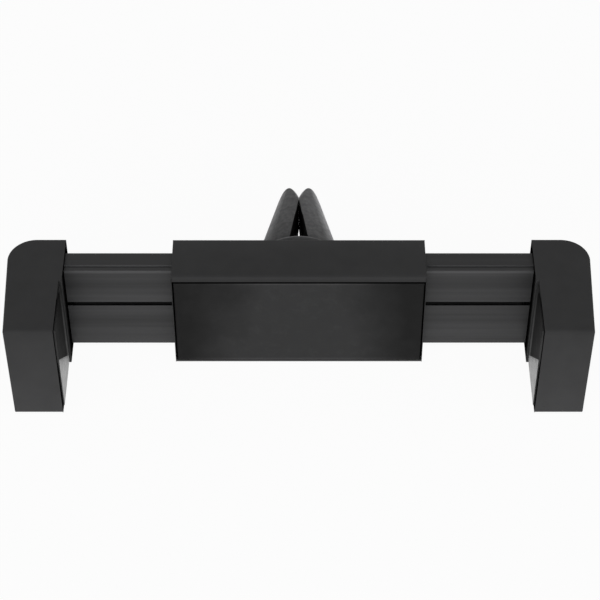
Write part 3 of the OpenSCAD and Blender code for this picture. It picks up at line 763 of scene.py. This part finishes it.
def makeJaw(side):
    name = "right" if side > 0 else "left"
    low, high = nodeBox(name + "_jaw_shell")
    base = min(abs(low.x), abs(high.x))
    width, reach, depth, halfH = high.x - low.x, -low.y, high.y, high.z
    frontW, corner, front = width - jaw["taper"], jaw["cornerRadius"], jaw["frontRadius"]
    outline = [(0, 0), (jaw["step"], 0), (jaw["step"], -reach), (frontW, -reach)]
    outline += arc((width - corner, depth - corner), corner, 0, 90, 16) + [(0, depth)]
    shell = addOutline(name + ".jaw", [(side * (base + x), y) for x, y in outline], "z", -halfH, halfH)

    def across(p):
        return side * p.x - base

    def onEnd(p):
        return abs(p.z) > halfH - slack

    roundEdges(shell, front, [
        (lambda p, d: onEnd(p) and p.y < slack - reach, 1),
        (lambda p, d: onEnd(p) and (across(p) > frontW / 2 or p.y > depth - slack),
         jaw["backRadius"] / front),
        (lambda p, d: onEnd(p), jaw["innerRadius"] / front),
        (lambda p, d: across(p) > frontW - slack, jaw["uprightRadius"] / front),
        (lambda p, d: abs(p.y) > slack or across(p) < jaw["step"] - slack, jaw["innerRadius"] / front)],
        segments=6)

    padBack, padFront, padZ = jaw["step"] + jaw["pad"], jaw["rim"] - reach, halfH - jaw["rim"]
    inner, socketEnd = side * (base - over), side * (base + jaw["socket"])
    combine(shell, addBlock("recess", (side * (base + jaw["step"] - over), padFront, -padZ),
                            (side * (base + padBack), -jaw["seam"], padZ)))
    combine(shell, addBlock("socket", (inner, arm["front"], -plateZ), (socketEnd, plateBack + lap, plateZ)))
    combine(shell, addBlock("socket", (inner, plateBack, -arm["halfHeight"]),
                            (socketEnd, arm["back"], arm["halfHeight"])))
    start, hollowFront = padBack - lap, padFront + jaw["wall"]
    hollow = [(start, hollowFront), (frontW - jaw["wall"], hollowFront),
              (width - jaw["wall"] - jaw["taper"] / 2, jaw["hollowBack"]), (start, jaw["hollowBack"])]
    top = padZ - jaw["wall"]
    rib = top / 3  # two ribs part the hollow into three
    for floor, ceiling in ((-top, -rib - jaw["rib"] / 2), (jaw["rib"] / 2 - rib, rib - jaw["rib"] / 2),
                           (rib + jaw["rib"] / 2, top)):
        combine(shell, addOutline("hollow", [(side * (base + x), y) for x, y in hollow], "z", floor, ceiling))
    for level in (-1, 1):
        sinkScrew(shell, side * arm["screwX"], level * arm["screwHeight"], depth)

    def onRim(p, d):
        within = padFront - slack < p.y < slack - jaw["seam"] and abs(p.z) < padZ + slack
        return within and abs(across(p) - jaw["step"]) < slack

    roundEdges(shell, jaw["rimRadius"], [(onRim, 1)], segments=2)
    finishPiece(shell, name + "_jaw", name + "_jaw_shell", materials["jawPlastic"])
    # painted shade: the gripping side of the shell is left dull and near black, with a lighter band painted
    # in its finish
    shell.data.materials.append(materials["jawInside"])
    for face in shell.data.polygons:
        gripping = across(placeOf(face.center)) < jaw["step"] + jaw["insideDepth"]
        face.material_index = 1 if gripping and side * face.normal.x < -along else 0

    low, high = nodeBox(name + "_jaw_pad")
    pad = addBlock(name + ".jaw.pad", low, high)
    roundEdges(pad, jaw["padEdge"], [(lambda p, d: across(p) < jaw["step"] + slack, 1)], segments=3)
    finishPiece(pad, name + "_jaw", name + "_jaw_pad", materials["jawRubber"])


for side in (-1, 1):
    makeJaw(side)
print("jaws made")


# Clip: a rubber collar and four rubber boots that touch in pairs near their tips

clip = {
    "collarFront": -1.35, "collarRadius": 9.7, "collarFrontRadius": 0.2, "collarBackRadius": 0.35,
    "coreRadius": 5.4, "coreTip": 3.2, "fingerLength": 17.5, "skin": 0.8,
    "rootRadius": 9.1, "tipRadius": 3.9, "length": 20.7, "spare": 0.3, "sides": 64,
    "uprightSlot": 3.9, "levelSlot": 3, "touch": 16, "touchGap": 0.004, "fingerGap": 0.1,
    "edgeRadius": 0.35, "slotEdgeRadius": 0.12, "slotDarkFrom": 0.2,
    "noseX": 2.5, "noseZ": 3, "noseHalfX": 3.66, "noseHalfZ": 3.2, "noseLength": 9, "noseCurve": 1.5,
    "noseSteps": 24, "noseSkirt": 6, "noseFlare": 0.9, "flareCurve": 1.5, "skirtSteps": 9, "flareSteps": 12,
    "domeRadius": 2.6, "domeMiddle": 14.5, "domeLength": 6, "stemFront": -0.8,
}
slotY = -frontY  # depth of the slots' bottom behind the front face


def makeCollar():
    front = slotY + clip["collarFront"]
    collar = addBar("clip.collar", 0, 0, front, slotY, clip["collarRadius"], sides=128)
    roundEdges(collar, clip["collarBackRadius"], [
        (lambda p, d: p.y > slotY - slack, 1),
        (lambda p, d: True, clip["collarFrontRadius"] / clip["collarBackRadius"])], segments=5)
    combine(collar, addBar("bore", 0, 0, front - over, slotY + over, clip["coreRadius"], sides=96))
    finishPiece(collar, "clip", "clip_collar", materials["collarRubber"])


def slotSide(slot, skin, gap):
    # one side of a pair of prongs, as (across, depth): straight to the touch, then in touch to the end
    near, wide = gap / 2 + skin, slot / 2 + skin
    far, end = 2 * clip["rootRadius"], clip["length"] + over
    points = [(far, -over), (wide, -over), (wide, 0), (near, clip["touch"]), (near, end), (far, end)]
    return [(across, slotY + depth) for across, depth in points]


def quarterForm(name, startRadius, endRadius, length, skin=0.0, gap=clip["touchGap"], start=0.0):
    form = addBar(name, 0, 0, slotY + start, slotY + length, startRadius, endRadius, sides=clip["sides"])
    wide = 2 * clip["rootRadius"]
    upright = slotSide(clip["uprightSlot"], skin, gap)
    combine(form, addOutline("upright", upright, "z", -wide, wide), "INTERSECT")
    level = [(depth, across) for across, depth in slotSide(clip["levelSlot"], skin, gap)]
    combine(form, addOutline("level", level, "x", -wide, wide), "INTERSECT")
    return form


def addBullet():
    # the round nose of a prong: a turned profile that flares out below, squeezed to an oval
    half, length, middle = clip["noseHalfX"], clip["noseLength"], clip["length"] - clip["noseLength"]
    turns = [math.radians(90 - 90 * step / clip["noseSteps"]) for step in range(clip["noseSteps"] + 1)]
    profile = [(half * math.cos(t), middle + length * math.sin(t) ** (2 / clip["noseCurve"])) for t in turns]
    profile[0] = (0, clip["length"])  # exactly on the axis
    for step in range(1, clip["flareSteps"] + 1):
        share = step / clip["skirtSteps"]
        flare = 1 + clip["noseFlare"] * share ** clip["flareCurve"]
        profile.append((half * flare, middle - clip["noseSkirt"] * share))
    profile += [(profile[-1][0], -over), (0, -over)]
    pickOnly()
    bpy.ops.mesh.primitive_circle_add(vertices=len(profile), fill_type="NOTHING")
    bullet = bpy.context.object
    bullet.name = "bullet"
    for vertex, (radius, depth) in zip(bullet.data.vertices, profile):
        vertex.co = metres((radius, slotY + depth, 0))
    bpy.ops.object.mode_set(mode="EDIT")
    bpy.ops.mesh.select_all(action="SELECT")
    bpy.ops.mesh.spin(steps=clip["sides"], angle=math.tau, center=(0, 0, 0), axis=(0, 1, 0))
    bpy.ops.mesh.select_all(action="SELECT")
    bpy.ops.mesh.remove_doubles(threshold=mergeDistance * mm)
    bpy.ops.mesh.select_all(action="SELECT")
    bpy.ops.mesh.delete_loose(use_verts=True, use_edges=True, use_faces=False)
    bpy.ops.object.mode_set(mode="OBJECT")
    pointOutwards(bullet)
    bullet.scale = (1, 1, clip["noseHalfZ"] / half)
    bullet.location = (clip["noseX"] * mm, 0, clip["noseZ"] * mm)
    return settle(bullet)


def makeBoots():
    boot = quarterForm("clip.boot", clip["rootRadius"], clip["tipRadius"], clip["length"] + clip["spare"])
    # the inner corners of the four prongs stay in touch and end in a dome between their noses
    nose, radius, middle = addBullet(), clip["domeRadius"], slotY + clip["domeMiddle"]
    pickOnly()
    bpy.ops.mesh.primitive_uv_sphere_add(segments=48, ring_count=24, radius=mm, rotation=(math.pi / 2, 0, 0),
                                         location=metres((0, middle, 0)))
    dome = bpy.context.object
    dome.scale = (radius, radius, clip["domeLength"])
    combine(nose, settle(dome), "UNION")
    combine(nose, addBar("stem", 0, 0, slotY + clip["stemFront"], middle, radius), "UNION")
    combine(boot, nose, "INTERSECT")
    halfGap = clip["touchGap"] / 2
    slopes = [(clip[slot] / 2 - halfGap) / clip["touch"] for slot in ("uprightSlot", "levelSlot")]

    def nearSlot(p):
        depth = min(p.y - slotY, clip["touch"])
        gaps = [halfGap + slope * (clip["touch"] - depth) for slope in slopes]
        return min(abs(p.x - gaps[0]), abs(p.z - gaps[1])) < 3 * slack

    roundEdges(boot, clip["edgeRadius"], [
        (lambda p, d: p.y < slotY + slack, 1),
        (lambda p, d: nearSlot(p), clip["slotEdgeRadius"] / clip["edgeRadius"]),
        (lambda p, d: True, 1)], segments=4)
    combine(boot, quarterForm("finger", clip["coreRadius"], clip["coreTip"], clip["fingerLength"],
                              clip["skin"], clip["fingerGap"], -lap))
    for number, (right, up) in enumerate(((1, 1), (-1, 1), (-1, -1), (1, -1)), 1):
        copy = boot.copy()
        copy.data = boot.data.copy()
        copy.name = f"clip.boot.{number}"
        bpy.context.scene.collection.objects.link(copy)
        copy.scale = (right, 1, up)
        settle(copy)
        pointOutwards(copy)
        finishPiece(copy, "clip", "clip_boots", materials["clipRubber"])
        # painted shade: the faces in the slots are near black
        copy.data.materials.append(materials["slotPaintedShade"])
        for face in copy.data.polygons:
            towardsMiddle = face.normal.x * right < -along or face.normal.z * up < -along
            spot = placeOf(face.center) * Vector((right, 1, up))
            inSlot = towardsMiddle and nearSlot(spot) and spot.y > slotY + clip["slotDarkFrom"]
            face.material_index = 1 if inSlot else 0
    bpy.data.objects.remove(boot)


makeCollar()
makeBoots()
print("clip made")


# Springs: a coil with a loop at each end, built at a single length; the real spring shortens as the jaws
# close

spring = {
    "wire": 0.45, "wireSides": 6, "radius": 1.025, "turns": 36, "turnSteps": 10, "coilHalf": 38.075,
    "neckStart": 0.1, "loopRadius": 0.725, "depth": 6.65, "closedShare": 0.488,
}


def makeSpring(name, node, level):
    middle = metres((0, spring["depth"], level * arm["springHeight"]))
    pickOnly()
    bpy.ops.mesh.primitive_circle_add(vertices=spring["wireSides"], radius=spring["wire"] / 2 * mm,
                                      location=middle - Vector((spring["coilHalf"] * mm, 0, 0)),
                                      rotation=(math.pi / 2, 0, 0))
    coil = bpy.context.object
    coil.name = name
    bpy.ops.object.transform_apply(location=False, rotation=True, scale=False)
    bpy.ops.object.mode_set(mode="EDIT")
    bpy.ops.mesh.select_all(action="SELECT")
    bpy.ops.transform.translate(value=(0, 0, spring["radius"] * mm))
    bpy.ops.object.mode_set(mode="OBJECT")
    winding = coil.modifiers.new("winding", "SCREW")
    winding.axis = "X"
    winding.iterations = spring["turns"]
    winding.screw_offset = 2 * spring["coilHalf"] / spring["turns"] * mm
    winding.steps = winding.render_steps = spring["turnSteps"]
    bpy.ops.object.modifier_apply(modifier=winding.name)
    settle(coil)
    bpy.ops.object.mode_set(mode="EDIT")
    bpy.ops.mesh.select_all(action="SELECT")
    bpy.ops.mesh.fill_holes(sides=0)
    bpy.ops.object.mode_set(mode="OBJECT")
    pointOutwards(coil)
    neckStart, neckEnd = spring["coilHalf"] + spring["neckStart"], arm["pinX"] - spring["loopRadius"]
    for side in (-1, 1):
        pickOnly()
        bpy.ops.mesh.primitive_torus_add(
            location=middle + Vector((side * arm["pinX"] * mm, 0, 0)), rotation=(math.pi / 2, 0, 0),
            major_radius=spring["loopRadius"] * mm, minor_radius=spring["wire"] / 2 * mm,
            major_segments=24, minor_segments=8)
        combine(coil, settle(bpy.context.object), "UNION")
        pickOnly()
        bpy.ops.mesh.primitive_cylinder_add(
            vertices=8, radius=spring["wire"] / 2 * mm, depth=(neckEnd - neckStart) * mm,
            location=middle + Vector((side * (neckStart + neckEnd) / 2 * mm, 0, 0)),
            rotation=(0, math.pi / 2, 0))
        combine(coil, settle(bpy.context.object), "UNION")
    finishPiece(coil, "housing", node, materials["springSteel"])
    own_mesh(coil)


makeSpring("spring.upper", "upper_spring", 1)
makeSpring("spring.lower", "lower_spring", -1)
print("springs made")


# The CAD nodes that keep their shape and only get a finish

keptNodes = {
    "cover_screws": "screwSteel", "left_jaw_screws": "screwSteel", "right_jaw_screws": "screwSteel",
    "left_spring_pins": "screwSteel", "right_spring_pins": "screwSteel", "pivot_screw": "screwSteel",
    "pivot_washer": "washerNylon", "friction_ring": "frictionRubber", "pinion": "gearPlastic",
    "clip_core": "corePlastic",
}
for node, finish in keptNodes.items():
    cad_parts[node].data.materials.clear()
    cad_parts[node].data.materials.append(materials[finish])
print("kept nodes finished:", len(keptNodes))


# Studio: white floor and surroundings, brighter light from the front than from above

studio = {
    "lens": 120, "sensor": 36, "pitch": 46.59, "distance": 394.4, "rise": 3.906, "aside": 0.24,
    "clipStart": 10, "clipEnd": 10000, "floorSize": 6000, "floorGap": 0.05,
    "floorColour": 0.8, "floorGlow": 0.95, "allRound": 0.25, "fromFront": 1.5,
}
lamps = {
    "front": {"place": (-120, -780, 150), "size": 260, "power": 0.9},
}


def seenDirectly(material):
    # 1 for camera, glossy and transmission rays
    path = material.node_tree.nodes.new("ShaderNodeLightPath")
    seen = calculate(material, "MAXIMUM", path.outputs["Is Camera Ray"], path.outputs["Is Glossy Ray"])
    return calculate(material, "MAXIMUM", seen, path.outputs["Is Transmission Ray"])


def makeSurroundings():
    world = bpy.data.worlds.new("surroundings")
    bpy.context.scene.world = world
    world.use_nodes = True
    nodes, links = world.node_tree.nodes, world.node_tree.links
    nodes.clear()
    output = nodes.new("ShaderNodeOutputWorld")
    mix = nodes.new("ShaderNodeMixShader")
    ambient, white = nodes.new("ShaderNodeBackground"), nodes.new("ShaderNodeBackground")
    # from the sides to straight in front, where Y is -1
    strength = spread(world, axesOf(world, "Generated")["Y"], studio["allRound"],
                      studio["allRound"] + studio["fromFront"], 0, -1)
    links.new(strength, ambient.inputs["Strength"])
    ambient.inputs["Color"].default_value = (1, 1, 1, 1)
    white.inputs["Color"].default_value = (1, 1, 1, 1)
    links.new(seenDirectly(world), mix.inputs["Fac"])
    links.new(ambient.outputs[0], mix.inputs[1])
    links.new(white.outputs[0], mix.inputs[2])
    links.new(mix.outputs[0], output.inputs["Surface"])


def makeFloor():
    pickOnly()
    bpy.ops.mesh.primitive_plane_add(size=studio["floorSize"] * mm,
                                     location=(0, 0, cadBox[0][2] - studio["floorGap"] * mm))
    floor = bpy.context.object
    floor.name = "floor"
    paper = bpy.data.materials.new("floorPaper")
    paper.use_nodes = True
    nodes, links = paper.node_tree.nodes, paper.node_tree.links
    nodes.clear()
    output = nodes.new("ShaderNodeOutputMaterial")
    matt, glow, mix = (nodes.new("ShaderNode" + kind) for kind in ("BsdfDiffuse", "Emission", "MixShader"))
    matt.inputs["Color"].default_value = (*[studio["floorColour"]] * 3, 1)
    links.new(calculate(paper, "MULTIPLY", seenDirectly(paper), studio["floorGlow"]), mix.inputs["Fac"])
    links.new(matt.outputs[0], mix.inputs[1])
    links.new(glow.outputs[0], mix.inputs[2])
    links.new(mix.outputs[0], output.inputs["Surface"])
    floor.data.materials.append(paper)


def makeLamp(name, lamp):
    pickOnly()
    place = Vector(lamp["place"]) * mm
    bpy.ops.object.light_add(type="AREA", location=place)
    light = bpy.context.object
    light.name = name + ".lamp"
    light.data.shape = "SQUARE"
    light.data.size = lamp["size"] * mm
    light.data.energy = lamp["power"]
    light.rotation_euler = (-place).to_track_quat("-Z", "Y").to_euler()


def makeCamera():
    pitch = math.radians(studio["pitch"])
    forward = Vector((0, math.cos(pitch), -math.sin(pitch)))
    up = Vector((0, math.sin(pitch), math.cos(pitch)))
    edge = metres((studio["aside"], 0, nodeBox("housing_shell")[1].z))  # on the housing's front top edge
    bpy.ops.object.camera_add(location=edge - forward * studio["distance"] * mm - up * studio["rise"] * mm,
                              rotation=(math.pi / 2 - pitch, 0, 0))
    camera = bpy.context.object
    camera.data.lens = studio["lens"]
    camera.data.sensor_width = studio["sensor"]
    camera.data.clip_start = studio["clipStart"] * mm
    camera.data.clip_end = studio["clipEnd"] * mm
    bpy.context.scene.camera = camera


makeSurroundings()
makeFloor()
for name, lamp in lamps.items():
    makeLamp(name, lamp)
makeCamera()
bpy.context.scene.view_settings.view_transform = "Standard"
print("studio made")
